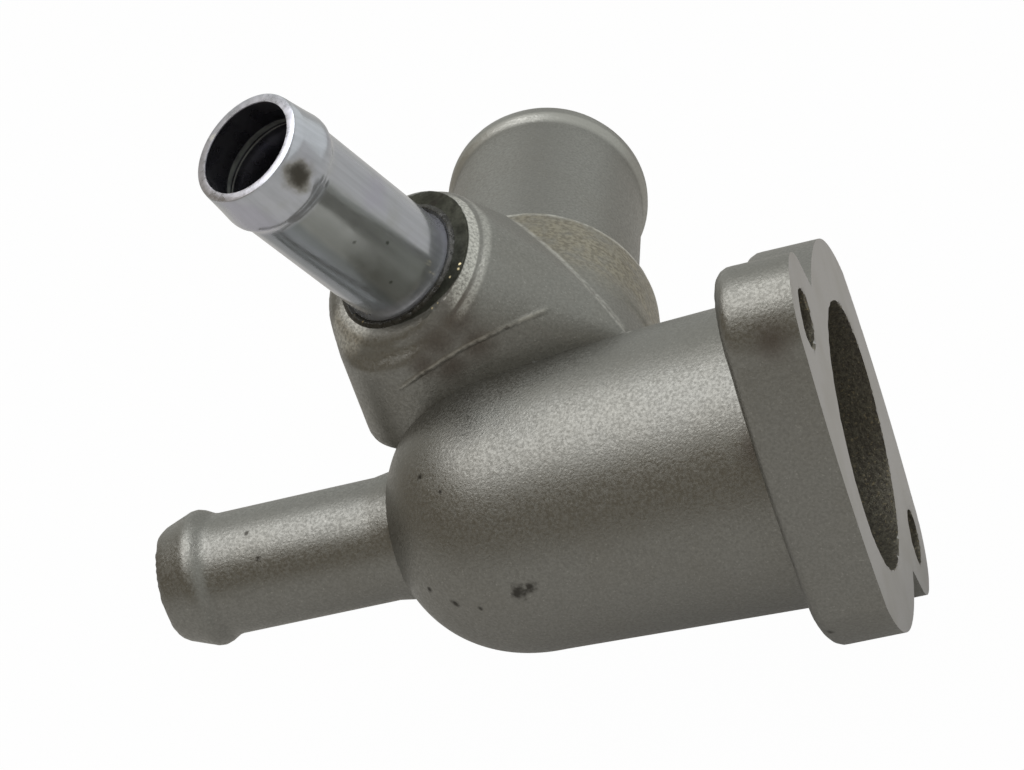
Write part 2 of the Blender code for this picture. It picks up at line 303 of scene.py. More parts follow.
# Painted reflections in long bands on the pipe: the side each lies on, where it starts and is full, strength,
# tone
PIPE_PAINTED_REFLECTIONS = (
    ((0.52, -0.82, -0.24), 7.2, 8.6, 0.7, (0.40, 0.425, 0.405, 1.0)),
    ((-0.18, -0.86, -0.48), 8.3, 8.8, 0.62, (0.22, 0.26, 0.30, 1.0)),
    ((0.30, -0.88, -0.36), 8.2, 8.8, 0.4, (0.20, 0.215, 0.20, 1.0)),
)


# Distance fields

def arc(center, radius, start, end, count):
    """Points on a circle in a profile plane, angles in degrees."""
    angles = np.radians(np.linspace(start, end, count + 1))
    return [(center[0] + radius * math.cos(a), center[1] + radius * math.sin(a)) for a in angles]


def union(a, b, soft):
    """Smooth union of two distance fields with a fillet about as wide as soft."""
    blend = np.maximum(soft - np.abs(a - b), 0.0)
    return np.minimum(a, b) - blend * blend / (4.0 * soft)


class Outline:
    """Signed distance to a closed outline in a plane, kept in a table; sides along u = 0 don't count."""

    def __init__(self, outline, low, shape, step):
        self.low = low
        self.step = step
        u, v = np.meshgrid(*[low[k] + np.arange(shape[k]) * step for k in (0, 1)], indexing="ij")
        best = np.full(u.shape, 1e9)
        inside = np.zeros(u.shape, bool)
        for a, b in zip(outline, np.roll(outline, -1, axis=0)):
            if a[1] != b[1]:
                crosses = (v >= min(a[1], b[1])) & (v < max(a[1], b[1]))
                at = a[0] + (v - a[1]) / (b[1] - a[1]) * (b[0] - a[0])
                inside ^= crosses & (at > u)
            if a[0] == 0.0 and b[0] == 0.0:
                continue
            d = b - a
            t = np.clip(((u - a[0]) * d[0] + (v - a[1]) * d[1]) / (d @ d), 0.0, 1.0)
            best = np.minimum(best, (u - a[0] - t * d[0]) ** 2 + (v - a[1] - t * d[1]) ** 2)
        self.table = np.where(inside, -1.0, 1.0) * np.sqrt(best)

    def read(self, u, v):
        t = self.table
        u = np.clip((u - self.low[0]) / self.step, 0, t.shape[0] - 1.001)
        v = np.clip((v - self.low[1]) / self.step, 0, t.shape[1] - 1.001)
        i = u.astype(int)
        j = v.astype(int)
        u -= i
        v -= j
        near = t[i, j] * (1 - u) + t[i + 1, j] * u
        far = t[i, j + 1] * (1 - u) + t[i + 1, j + 1] * u
        return near * (1 - v) + far * v


class Turned:
    """Distance to a solid of revolution, from the outline of its half section as (radius, height)."""

    STEP = 0.15

    def __init__(self, profile, origin, axis):
        self.origin = np.asarray(origin, float)
        self.axis = np.asarray(axis, float)
        pts = np.array(profile)
        low = pts[:, 1].min() - TABLE_END_ROOM
        rows = int(round((pts[:, 0].max() + TABLE_SIDE_ROOM) / self.STEP)) + 2
        cols = int(round((pts[:, 1].max() + TABLE_END_ROOM - low) / self.STEP)) + 2
        self.outline = Outline(pts, (0.0, low), (rows, cols), self.STEP)

    def __call__(self, p):
        q = p - self.origin
        h = q @ self.axis
        r = np.sqrt(np.maximum((q * q).sum(1) - h * h, 0.0))
        return self.outline.read(r, h)


class Gridded:
    """A field kept on a small grid, blurred to soften its edges, and read between its nodes."""

    def __init__(self, low, high, step, field, blur):
        self.low = np.array(low, float)
        self.step = step
        axes = [np.arange(l, h, step) for l, h in zip(low, high)]
        nodes = np.stack(np.meshgrid(*axes, indexing="ij"), -1)
        values = field(nodes.reshape(-1, 3)).reshape(nodes.shape[:3])
        reach = int(math.ceil(3.0 * blur / step))
        taps = np.exp(-0.5 * (np.arange(-reach, reach + 1) * step / blur) ** 2)
        taps /= taps.sum()
        for axis in range(3):
            padded = np.pad(values, [(reach, reach) if k == axis else (0, 0) for k in range(3)], mode="edge")
            count = values.shape[axis]
            values = sum(w * padded.take(range(k, k + count), axis=axis) for k, w in enumerate(taps))
        self.values = values

    def __call__(self, p):
        top = np.array(self.values.shape) - 1.001
        u = (p - self.low) / self.step
        c = np.clip(u, 0, top)
        outside = np.sqrt(((u - c) ** 2).sum(1)) * self.step
        i = c.astype(int)
        f = c - i
        v = self.values
        total = 0.0
        for dx in (0, 1):
            for dy in (0, 1):
                for dz in (0, 1):
                    w = (f[:, 0] if dx else 1 - f[:, 0]) * (f[:, 1] if dy else 1 - f[:, 1])
                    w = w * (f[:, 2] if dz else 1 - f[:, 2])
                    total = total + w * v[i[:, 0] + dx, i[:, 1] + dy, i[:, 2] + dz]
        return total + outside


def flange_outline():
    """Disc with two ears; one flank of each ear runs out to the disc, the other meets it in a notch."""
    half = 0.5 * BOLT_SPACING
    points = []
    start = np.array([half + EAR_R * math.cos(SIDE_NORMAL), EAR_R * math.sin(SIDE_NORMAL)])
    end = np.array([DISC_R * math.cos(SIDE_MEETS_DISC), DISC_R * math.sin(SIDE_MEETS_DISC)])
    chord = end - start
    outward = np.array([chord[1], -chord[0]]) / np.linalg.norm(chord)
    notch = math.asin(EAR_R / DISC_R)
    for a in np.linspace(-0.5 * math.pi, SIDE_NORMAL, 40):
        points.append(np.array([half + EAR_R * math.cos(a), EAR_R * math.sin(a)]))
    for s in np.linspace(0.0, 1.0, 26)[1:-1]:
        points.append(start + chord * s + outward * 4.0 * s * (1.0 - s) * SIDE_BULGE)
    for a in np.linspace(SIDE_MEETS_DISC, math.pi - notch, 60):
        points.append(np.array([DISC_R * math.cos(a), DISC_R * math.sin(a)]))
    return np.array(points + [-p for p in points])


EAR_DIR = np.array([0.0, -math.sin(EAR_TILT), math.cos(EAR_TILT)])
SIDE_DIR = np.cross([1.0, 0.0, 0.0], EAR_DIR)


class Flange:
    """Outline drawn back from the mating face, with rounded rear edges."""

    STEP = 0.2
    LOW = (-62.0, -50.0)

    def __init__(self):
        shape = [len(np.arange(low, -low, self.STEP)) for low in self.LOW]
        self.outline = Outline(flange_outline(), self.LOW, shape, self.STEP)

    def __call__(self, p):
        side = self.outline.read(p @ EAR_DIR, p @ SIDE_DIR) + REAR_EDGE_R
        rear = -FLANGE_T - p[:, 0] + REAR_EDGE_R
        both = np.sqrt(np.maximum(side, 0.0) ** 2 + np.maximum(rear, 0.0) ** 2)
        rounded = both + np.minimum(np.maximum(side, rear), 0.0) - REAR_EDGE_R
        return np.maximum(rounded, p[:, 0] - FRONT_SPARE)


def chamber_radius(depth):
    return CHAMBER_R - CHAMBER_TAPER * depth


def dome(offset, count):
    """Slightly squared quarter ellipse from the chamber's wall to its axis, drawn inward by offset."""
    wide = chamber_radius(DOME_START) - offset
    deep = DOME_END - DOME_START - offset
    points = []
    for a in np.linspace(0.0, 0.5 * math.pi, count + 1)[:-1]:
        points.append((wide * math.cos(a) ** DOME_FULLNESS, DOME_START + deep * math.sin(a) ** DOME_FULLNESS))
    return points + [(0.0, DOME_START + deep)]


def body_outside():
    """Chamber, dome and the coaxial spigot; height is the depth behind the mating face."""
    profile = [(0.0, -FRONT_SPARE), (chamber_radius(0.0), -FRONT_SPARE), (chamber_radius(0.0), 0.0)]
    profile += [p for p in dome(0.0, 60) if p[0] > SPIGOT_R + 0.5]
    profile += [(SPIGOT_R + 0.15, DOME_END + 0.35), (SPIGOT_R, DOME_END + 1.2)]
    profile += [(SPIGOT_R - 0.05, SPIGOT_BEAD_AT - 3.0), (SPIGOT_R + 0.12, SPIGOT_BEAD_AT - 2.1)]
    profile += [(SPIGOT_BEAD_R - 0.25, SPIGOT_BEAD_AT - 0.75), (SPIGOT_BEAD_R, SPIGOT_BEAD_AT + 0.1)]
    profile += [(SPIGOT_BEAD_R - 0.05, SPIGOT_BEAD_AT + 0.8), (SPIGOT_TIP_R + 0.75, SPIGOT_TIP_AT - 1.0)]
    profile += [(SPIGOT_TIP_R + 0.3, SPIGOT_TIP_AT - 0.25), (SPIGOT_TIP_R - 0.2, SPIGOT_TIP_AT)]
    profile += [(0.0, SPIGOT_TIP_AT)]
    return Turned(profile, (0.0, 0.0, 0.0), (-1.0, 0.0, 0.0))


def body_core():
    """Passage of the chamber and the spigot."""
    profile = [(0.0, -9.0), (BORE_R + 0.25, -9.0), (BORE_R + 0.25, 0.0), (BORE_R, 0.25), (BORE_R, FLANGE_T)]
    profile += [p for p in dome(WALL, 40) if p[0] > SPIGOT_BORE_R + 0.6]
    profile += [(SPIGOT_BORE_R, DOME_END - 0.4 * WALL), (SPIGOT_BORE_R, SPIGOT_TIP_AT - 0.4)]
    profile += [(SPIGOT_BORE_R + 0.5, SPIGOT_TIP_AT + 0.1), (SPIGOT_BORE_R + 0.5, SPIGOT_TIP_AT + 4.0)]
    profile += [(0.0, SPIGOT_TIP_AT + 4.0)]
    return Turned(profile, (0.0, 0.0, 0.0), (-1.0, 0.0, 0.0))


def neck_outside():
    """Collar, neck and bead; height is along the neck."""
    top = NECK_LENGTH
    edge = COLLAR_EDGE_R
    profile = [(0.0, 0.0), (COLLAR_R, 0.0), (COLLAR_R, COLLAR_END - 6.0)]
    profile += arc((COLLAR_R - edge - 0.35, COLLAR_END - edge), edge, 8.0, 82.0, 8)
    profile += arc((NECK_R + 1.0, COLLAR_END + 1.1), 1.25, 270.0, 190.0, 6)
    profile += [(NECK_R - 0.15, COLLAR_END + 4.0), (NECK_R, top - 6.6), (NECK_R + 0.1, top - 5.9)]
    profile += [(NECK_BEAD_R - 0.12, top - 4.4), (NECK_BEAD_R, top - 3.7), (NECK_BEAD_R - 0.05, top - 2.2)]
    profile += [(NECK_BEAD_R - 0.6, top - 0.8), (NECK_BEAD_R - 1.4, top - 0.05), (NECK_BEAD_R - 1.8, top)]
    profile += [(0.0, top)]
    return Turned(profile, NECK_FOOT, NECK_DIR)


def neck_core():
    """Passage of the neck, tapered where it meets the chamber."""
    top = NECK_LENGTH
    profile = [(0.0, -15.0), (0.7 * NECK_BORE_R, -4.5), (NECK_BORE_R, -1.5), (NECK_BORE_R, top - 0.5)]
    profile += [(NECK_BORE_R + 0.6, top + 0.1), (NECK_BORE_R + 0.6, top + 5.0), (0.0, top + 5.0)]
    return Turned(profile, NECK_FOOT, NECK_DIR)


def boss():
    """Pad round the pipe: crisp with a sloped shoulder and a low step on one side, rounded on the other."""
    profile = [(0.0, -9.0), (BOSS_R, -9.0), (BOSS_R, -BOSS_STEP), (BOSS_R - 0.08, -BOSS_STEP + 0.3)]
    profile += [(BOSS_FACE_R + 0.12, -0.25), (BOSS_FACE_R - 0.1, -0.03), (BOSS_FACE_R - 0.4, 0.0), (0.0, 0.0)]
    crisp = Turned(profile, PIPE_FOOT, PIPE_DIR)
    rounded = Turned(BOSS_WORN_PROFILE, PIPE_FOOT, PIPE_DIR)

    def field(p):
        aside = (p - PIPE_FOOT) @ np.array(BOSS_BRIGHT_SIDE)
        share = np.clip((aside - BOSS_BLEND_FROM) / BOSS_BLEND_WIDTH, 0.0, 1.0)
        share = share * share * (3.0 - 2.0 * share)
        return crisp(p) * share + rounded(p) * (1.0 - share)

    return field


def pipe_core():
    """Hole for the pipe in the boss, and the passage below it."""
    fit = PIPE_R + FIT_GAP
    passage = PIPE_R - PIPE_WALL
    profile = [(0.0, -24.0), (passage, -24.0), (passage, -PIPE_IN - FIT_GAP), (fit, -PIPE_IN - FIT_GAP)]
    profile += [(fit, 4.0), (0.0, 4.0)]
    return Turned(profile, PIPE_FOOT, PIPE_DIR)


def ring(center, axis, radius, count):
    """Points on a circle in space."""
    turn = Vector(axis).to_track_quat("Z", "Y")
    points = []
    for i in range(count):
        a = 2.0 * math.pi * i / count
        points.append(np.array(turn @ Vector((radius * math.cos(a), radius * math.sin(a), 0.0))) + center)
    return points


def hull_planes(points):
    """Outward normals and offsets of the faces of the points' convex hull, near ones merged."""
    bm = bmesh.new()
    for p in points:
        bm.verts.new(Vector(p))
    bmesh.ops.convex_hull(bm, input=bm.verts)
    bm.normal_update()
    middle = np.mean(points, axis=0)
    planes = {}
    for face in bm.faces:
        if face.calc_area() < 1e-3:
            continue
        n = np.array(face.normal)
        d = n @ np.array(face.verts[0].co)
        if n @ middle > d:
            n, d = -n, -d
        planes[tuple(np.round([*n, d * 0.2], 2))] = (n, d)
    bm.free()
    return list(planes.values())


def seam(radius):
    """Slanted line round the collar where the hub's front ends."""
    up = np.array([0.0, 0.0, 1.0])
    side = np.cross(NECK_DIR, up)
    points = []
    for a in np.radians(np.linspace(*SEAM_TURN, SEAM_POINTS)):
        p = NECK_FOOT + (side * math.sin(a) + up * math.cos(a)) * radius
        along = (SEAM_OFFSET - p @ SEAM_NORMAL) / (NECK_DIR @ SEAM_NORMAL)
        points.append(p + NECK_DIR * min(max(along, COLLAR_START), SEAM_LAST))
    return points


def hull_field(points):
    """Distance field of a convex hull."""
    planes = hull_planes(points)

    def field(p):
        value = np.full(len(p), -1e9)
        for n, d in planes:
            np.maximum(value, p @ n - d, out=value)
        return value

    return field


def collar_root():
    """The collar's cylinder carried on behind the seam, down into the chamber."""
    points = seam(COLLAR_R) + ring(NECK_FOOT + NECK_DIR * 3.0, NECK_DIR, COLLAR_R, 120)
    return Gridded(*ROOT_BOX, HULL_STEP, hull_field(points), ROOT_BLUR)


def hub():
    """Hull round the boss column and the slanted seam on the collar, with softened edges."""
    up = np.array([0.0, 0.0, 1.0])
    column = np.array([PIPE_FOOT[0], PIPE_FOOT[1], 0.0])
    points = ring(PIPE_FOOT - PIPE_DIR * (BOSS_STEP + 0.25), PIPE_DIR, BOSS_R + 0.55, BOSS_POINTS)
    points += ring(column + up * BOSS_WALL_TOP, up, BOSS_WALL_R, BOSS_POINTS)
    points += ring(column + up * (BOSS_BOTTOM + 1.2), up, BOSS_WALL_R, BOSS_POINTS)
    points += ring(column + up * (BOSS_BOTTOM - 0.6), up, BOSS_WALL_R - 2.2, BOSS_POINTS)
    points += seam(COLLAR_R + 0.4)
    return Gridded(*HUB_BOX, HULL_STEP, hull_field(points), HUB_BLUR)


class Casting:
    """The whole casting: outer forms joined, then the passages, bolt holes and mating face cut."""

    def __init__(self):
        self.body = body_outside()
        self.flange = Flange()
        self.neck = neck_outside()
        self.hub = hub()
        self.root = collar_root()
        self.boss = boss()
        self.cores = [body_core(), neck_core(), pipe_core()]
        for side in (1.0, -1.0):
            center = EAR_DIR * side * 0.5 * BOLT_SPACING
            profile = [(0.0, -3.0), (BOLT_HOLE_R + 0.3, -3.0), (BOLT_HOLE_R + 0.3, 0.0), (BOLT_HOLE_R, 0.3)]
            profile += [(BOLT_HOLE_R, FLANGE_T + 3.0), (0.0, FLANGE_T + 3.0)]
            self.cores.append(Turned(profile, center, (-1.0, 0.0, 0.0)))

    def lower(self, p):
        """Chamber, end spigot and flange."""
        return union(self.body(p), self.flange(p), FLANGE_FILLET)

    def upper(self, p):
        """Hub, boss and large neck."""
        worn = np.clip((1.0 - (p - PIPE_FOOT) @ np.array(BOSS_BRIGHT_SIDE)) / 5.0, 0.0, 1.0)
        worn = worn * np.clip(((p - PIPE_FOOT) @ PIPE_DIR + 7.0) / 3.0, 0.0, 1.0)
        behind = np.minimum(self.hub(p), self.root(p))
        front = union(self.neck(p), self.boss(p), NECK_FILLET)
        return union(behind, front, HUB_FILLET + WORN_FILLET * worn)

    def __call__(self, p):
        value = np.minimum(self.lower(p), self.upper(p))
        for core in self.cores:
            np.maximum(value, -core(p), out=value)
        return np.maximum(value, p[:, 0])


# Mesh from a field

def gradient(field, p):
    """Unit slope of a field."""
    g = np.empty_like(p)
    for k in range(3):
        step = np.zeros(3)
        step[k] = SLOPE_STEP
        g[:, k] = field(p + step) - field(p - step)
    return g / np.maximum(np.linalg.norm(g, axis=1, keepdims=True), 1e-9)


def contour(field, low, high, cell):
    """Quads on the zero surface, one vertex a cell, set so that sharp edges stay sharp."""
    low = np.array(low, float)
    shape = np.ceil((np.array(high) - low) / cell).astype(int) + 1
    axes = [low[k] + np.arange(shape[k]) * cell for k in range(3)]
    values = np.empty(shape)
    for i, x in enumerate(axes[0]):
        y, z = np.meshgrid(axes[1], axes[2], indexing="ij")
        p = np.stack([np.full(y.shape, x), y, z], -1).reshape(-1, 3)
        values[i] = field(p).reshape(y.shape)
    values[values == 0.0] = 1e-6
    cells = shape - 1
    quads = []
    hits = []
    owners = []
    for k in range(3):
        a = values.take(range(shape[k] - 1), axis=k)
        b = values.take(range(1, shape[k]), axis=k)
        crossing = np.argwhere((a < 0.0) != (b < 0.0))
        va = a[tuple(crossing.T)]
        vb = b[tuple(crossing.T)]
        unit = np.zeros(3)
        unit[k] = cell
        t0 = np.zeros(len(va))
        t1 = np.ones(len(va))
        base = low + crossing * cell
        t = va / (va - vb)
        for _ in range(CROSSING_STEPS):
            v = field(base + t[:, None] * unit)
            below = (v < 0.0) == (va < 0.0)
            t0 = np.where(below, t, t0)
            t1 = np.where(below, t1, t)
            vb = np.where(below, vb, v)
            va = np.where(below, v, va)
            t = np.clip(t0 + (t1 - t0) * va / np.where(va == vb, 1.0, va - vb), t0, t1)
        hit = base + t[:, None] * unit
        u, w = [m for m in range(3) if m != k]
        ring4 = []
        for du, dw in ((-1, -1), (0, -1), (0, 0), (-1, 0)):
            c = crossing.copy()
            c[:, u] += du
            c[:, w] += dw
            ring4.append(np.ravel_multi_index(tuple(c.T), tuple(cells)))
        ring4 = np.stack(ring4, 1)
        flip = (va < 0.0) if k != 1 else (va >= 0.0)
        quads.append(np.where(flip[:, None], ring4, ring4[:, ::-1]))
        hits.append(np.repeat(hit, 4, axis=0))
        owners.append(ring4.reshape(-1))
    quads = np.concatenate(quads)
    owners = np.concatenate(owners)
    hits = np.concatenate(hits)
    normals = np.repeat(gradient(field, hits[::4]), 4, axis=0)
    used, index = np.unique(owners, return_inverse=True)
    count = np.bincount(index)
    mass = np.stack([np.bincount(index, hits[:, m]) for m in range(3)], 1) / count[:, None]
    rel = hits - mass[index]
    dist = (normals * rel).sum(1)
    left = np.zeros((len(used), 3, 3))
    right = np.zeros((len(used), 3))
    for m in range(3):
        right[:, m] = np.bincount(index, normals[:, m] * dist)
        for n in range(3):
            left[:, m, n] = np.bincount(index, normals[:, m] * normals[:, n])
    left += np.eye(3) * PULL_TO_MIDDLE
    offset = np.linalg.solve(left, right[:, :, None])[:, :, 0]
    corner = low + np.stack(np.unravel_index(used, tuple(cells)), 1) * cell
    verts = np.clip(mass + offset, corner, corner + cell)
    lookup = np.searchsorted(used, quads)
    return verts, lookup


def mesh_object(name, verts, faces, crease):
    """Smooth-shaded object; edges sharper than crease degrees stay sharp."""
    mesh = bpy.data.meshes.new(name)
    mesh.from_pydata([tuple(v) for v in verts * MM], [], [tuple(int(i) for i in f) for f in faces])
    mesh.validate()
    mesh.shade_smooth()
    mesh.set_sharp_from_angle(angle=math.radians(crease))
    obj = bpy.data.objects.new(name, mesh)
    bpy.context.scene.collection.objects.link(obj)
    return obj


def turned_mesh(name, profile, origin, axis, count, crease):
    """Closed ring of quads; profile is a closed loop of (radius, height), none on the axis."""
    turn = Vector(axis).to_track_quat("Z", "Y").to_matrix()
    verts = []
    for i in range(count):
        a = 2.0 * math.pi * i / count
        for r, h in profile:
            verts.append(np.array(turn @ Vector((r * math.cos(a), r * math.sin(a), h))) + origin)
    n = len(profile)
    faces = []
    for i in range(count):
        j = (i + 1) % count
        for k in range(n):
            m = (k + 1) % n
            faces.append((i * n + k, i * n + m, j * n + m, j * n + k))
    return mesh_object(name, np.array(verts), faces, crease)


# Materials

class Nodes:
    """Builds the node tree of a material or of the world."""

    def __init__(self, owner):
        owner.use_nodes = True
        self.owner = owner
        self.tree = owner.node_tree
        self.coords = self.add("ShaderNodeTexCoord").outputs
        self.point = self.coords["Object"]

    def add(self, kind, **values):
        node = self.tree.nodes.new(kind)
        for key, value in values.items():
            setattr(node, key, value)
        return node

    def link(self, source, target):
        """Joins two sockets, or sets a plain number or colour on the target."""
        if isinstance(source, (int, float, tuple)):
            target.default_value = source
        else:
            self.tree.links.new(source, target)

    def fill(self, node, **values):
        """Feeds the named inputs of a node; an underscore stands for a space."""
        for name, source in values.items():
            self.link(source, node.inputs[name.replace("_", " ")])

    def math(self, operation, *values):
        node = self.add("ShaderNodeMath", operation=operation)
        for i, value in enumerate(values):
            self.link(value, node.inputs[i])
        return node.outputs[0]

    def chain(self, operation, values):
        total = values[0]
        for value in values[1:]:
            total = self.math(operation, total, value)
        return total

    def product(self, *masks):
        return self.chain("MULTIPLY", masks)

    def most(self, *masks):
        return self.chain("MAXIMUM", masks)

    def noise(self, scale, detail=2.0, rough=0.5, vector=None):
        """Noise between 0 and 1; scale counts its cells in a metre."""
        node = self.add("ShaderNodeTexNoise")
        self.fill(node, Vector=vector or self.point, Scale=scale, Detail=detail, Roughness=rough)
        return node.outputs["Fac"]

    def sway(self, scale, reach):
        """Noise that swings by up to half of reach to either side of 0."""
        return self.math("MULTIPLY", self.math("SUBTRACT", self.noise(scale, 3.0), 0.5), reach)

    def ramp(self, value, low, high, out_low=0.0, out_high=1.0):
        """Smooth step from low to high, which may run downwards."""
        node = self.add("ShaderNodeMapRange", interpolation_type="SMOOTHSTEP")
        self.fill(node, Value=value, From_Min=low, From_Max=high, To_Min=out_low, To_Max=out_high)
        return node.outputs["Result"]

    def band(self, value, start, full, last, end):
        """1 between full and last, fading to 0 at start and end."""
        return self.product(self.ramp(value, start, full), self.ramp(value, end, last))

    def mix(self, factor, a, b):
        node = self.add("ShaderNodeMix", data_type="RGBA")
        self.link(factor, node.inputs["Factor"])
        self.link(a, node.inputs[6])
        self.link(b, node.inputs[7])
        return node.outputs[2]

    def over(self, base, mask, tone, share):
        """Covers base with a tone, by that share of a mask."""
        return self.mix(self.math("MULTIPLY", mask, share), base, tone)

    def mottled(self, value, low, high, dark, light):
        return self.mix(self.ramp(value, low, high), dark, light)

    def bump(self, height, distance, strength, under=None):
        node = self.add("ShaderNodeBump")
        self.fill(node, Height=height, Distance=distance, Strength=strength)
        if under is not None:
            self.link(under, node.inputs["Normal"])
        return node.outputs["Normal"]

    def distance(self, place):
        node = self.add("ShaderNodeVectorMath", operation="DISTANCE")
        self.link(self.point, node.inputs[0])
        node.inputs[1].default_value = tuple(v * MM for v in place)
        return node.outputs["Value"]

    def dot(self, vector, axis):
        node = self.add("ShaderNodeVectorMath", operation="DOT_PRODUCT")
        self.link(vector, node.inputs[0])
        node.inputs[1].default_value = axis
        return node.outputs["Value"]

    def along(self, axis):
        """Millimetres along an axis through the origin."""
        return self.dot(self.point, tuple(float(v) / MM for v in axis))

    def past(self, place, axis):
        """Millimetres beyond a place along an axis."""
        return self.math("SUBTRACT", self.along(axis), float(np.dot(place, axis)))

    def turned(self, origin, axis):
        """Distance from a line and height along it, in millimetres."""
        height = self.past(origin, axis)
        far = self.math("DIVIDE", self.distance(origin), MM)
        square = self.math("SUBTRACT", self.product(far, far), self.product(height, height))
        return self.math("SQRT", self.math("MAXIMUM", square, 0.0)), height

    def blot(self, place, radius, soft, wobble, scale=400.0):
        """1 inside a ball of that radius round a place, fading to 0 over soft, with a ragged edge."""
        d = self.math("ADD", self.distance(place), self.sway(scale, wobble * 2.0 * MM))
        return self.ramp(d, (radius + soft) * MM, radius * MM)

    def pits(self, spots):
        """Small ragged spots, each a place and a radius in millimetres."""
        return self.most(*[self.blot(place, 0.2 * r, 0.9 * r, 0.9 * r, 1100.0) for place, r in spots])

    def surface(self, base, metallic, rough, normal):
        """Feeds the material's shader; a plain number is set on its socket."""
        shader = self.tree.nodes["Principled BSDF"]
        self.fill(shader, Base_Color=base, Metallic=metallic, Roughness=rough, Normal=normal)
        return self.owner


def grey(v, warm=0.0):
    """Slightly warm grey of that value."""
    return (v * (1.0 + warm), v, v * (0.95 - warm * 1.6), 1.0)


def collar_masks(m, past_seam, height, sideways):
    """Masks round the neck: the tan crescent, the painted highlight on the rim and seam edges, the painted
    highlight on the bead, and that highlight's tone.
    """
    r, h = m.turned(NECK_FOOT, NECK_DIR)
    tan = m.product(
        m.ramp(r, COLLAR_R - 1.2, COLLAR_R - 0.4),
        m.band(h, -6.0, -1.0, COLLAR_END - 0.5, COLLAR_END + 0.2),
        m.ramp(past_seam, -0.2, 0.3),
        m.ramp(m.noise(300.0, 3.0), 0.3, 0.6, 0.4, 0.85),
        m.ramp(sideways, 14.0, 26.0),
    )
    rim = m.product(m.ramp(r, COLLAR_R - 1.6, COLLAR_R - 0.9), m.ramp(h, COLLAR_END - 1.6, COLLAR_END - 1.0))
    seam_edge = m.product(
        m.ramp(m.math("ABSOLUTE", past_seam), 0.7, 0.25),
        m.band(r, COLLAR_R - 0.3, COLLAR_R + 0.1, COLLAR_R + 0.8, COLLAR_R + 1.4),
        m.ramp(height, 19.5, 21.0),
        0.8,
    )
    # Painted highlight on the rim and seam edges, broken up by noise
    painted_edge_highlight = m.product(m.most(rim, seam_edge), m.ramp(m.noise(900.0, 4.0), 0.35, 0.6, 0.35, 1.0))
    # Painted highlight: a light arc on the bead's slope that faces the neck's foot
    painted_bead_highlight = m.product(m.ramp(h, NECK_LENGTH - 6.4, NECK_LENGTH - 5.2), m.ramp(r, NECK_R - 0.7, NECK_R - 0.2))
    bead_highlight_tone = m.mottled(h, NECK_LENGTH - 4.3, NECK_LENGTH - 3.6, grey(0.45), grey(0.32))
    return tan, painted_edge_highlight, painted_bead_highlight, bead_highlight_tone


def boss_masks(m):
    """Masks of the boss: a painted highlight on its shoulder and on the ring below the step, and the dark
    coat on its face, partly residue and partly painted shade.
    """
    r, h = m.turned(PIPE_FOOT, PIPE_DIR)
    shoulder = m.product(
        m.band(h, -BOSS_STEP - 0.25, -BOSS_STEP + 0.05, -0.15, -0.02),
        m.band(r, BOSS_FACE_R - 0.3, BOSS_FACE_R, BOSS_R + 0.2, BOSS_R + 0.5),
    )
    painted_ring_highlight = m.product(
        m.band(r, BOSS_R + 0.4, BOSS_R + 0.7, BOSS_R + 1.1, BOSS_R + 1.5),
        m.ramp(h, -4.5, -3.0, 0.0, 0.45),
    )
    # Painted highlight: the shoulder and the ring below the step, on the side facing BOSS_BRIGHT_SIDE
    painted_boss_highlight = m.product(
        m.most(shoulder, painted_ring_highlight),
        m.ramp(m.past(PIPE_FOOT, BOSS_BRIGHT_SIDE), 8.0, 10.5),
        m.ramp(m.noise(2600.0, 3.0), 0.3, 0.65, 0.3, 1.0),
    )
    # Dark coat on the face: partly sealant residue, partly painted shade from the pipe
    coat_and_shade = m.product(m.blot(BOSS_COAT_AND_SHADE_AT, BOSS_COAT_AND_SHADE_R, 0.35, 0.4), m.ramp(h, -0.35, -0.15))
    return painted_boss_highlight, coat_and_shade


def parting_ridge(m, across, sideways, height):
    """Mask of the parting line, which falls away before PARTING_LEVEL_FROM and wanders slightly."""
    before = m.math("MINIMUM", m.math("SUBTRACT", across, PARTING_LEVEL_FROM), 0.0)
    off = m.math("SUBTRACT", m.math("ADD", height, m.product(before, before, PARTING_CURVE)), PARTING_Z)
    return m.product(
        m.ramp(m.math("ABSOLUTE", m.math("ADD", off, m.sway(400.0, 0.6))), PARTING_HALF, 0.0),
        m.band(across, -66.0, -62.0, -42.0, -39.0),
        m.ramp(sideways, 12.0, 10.0),
    )


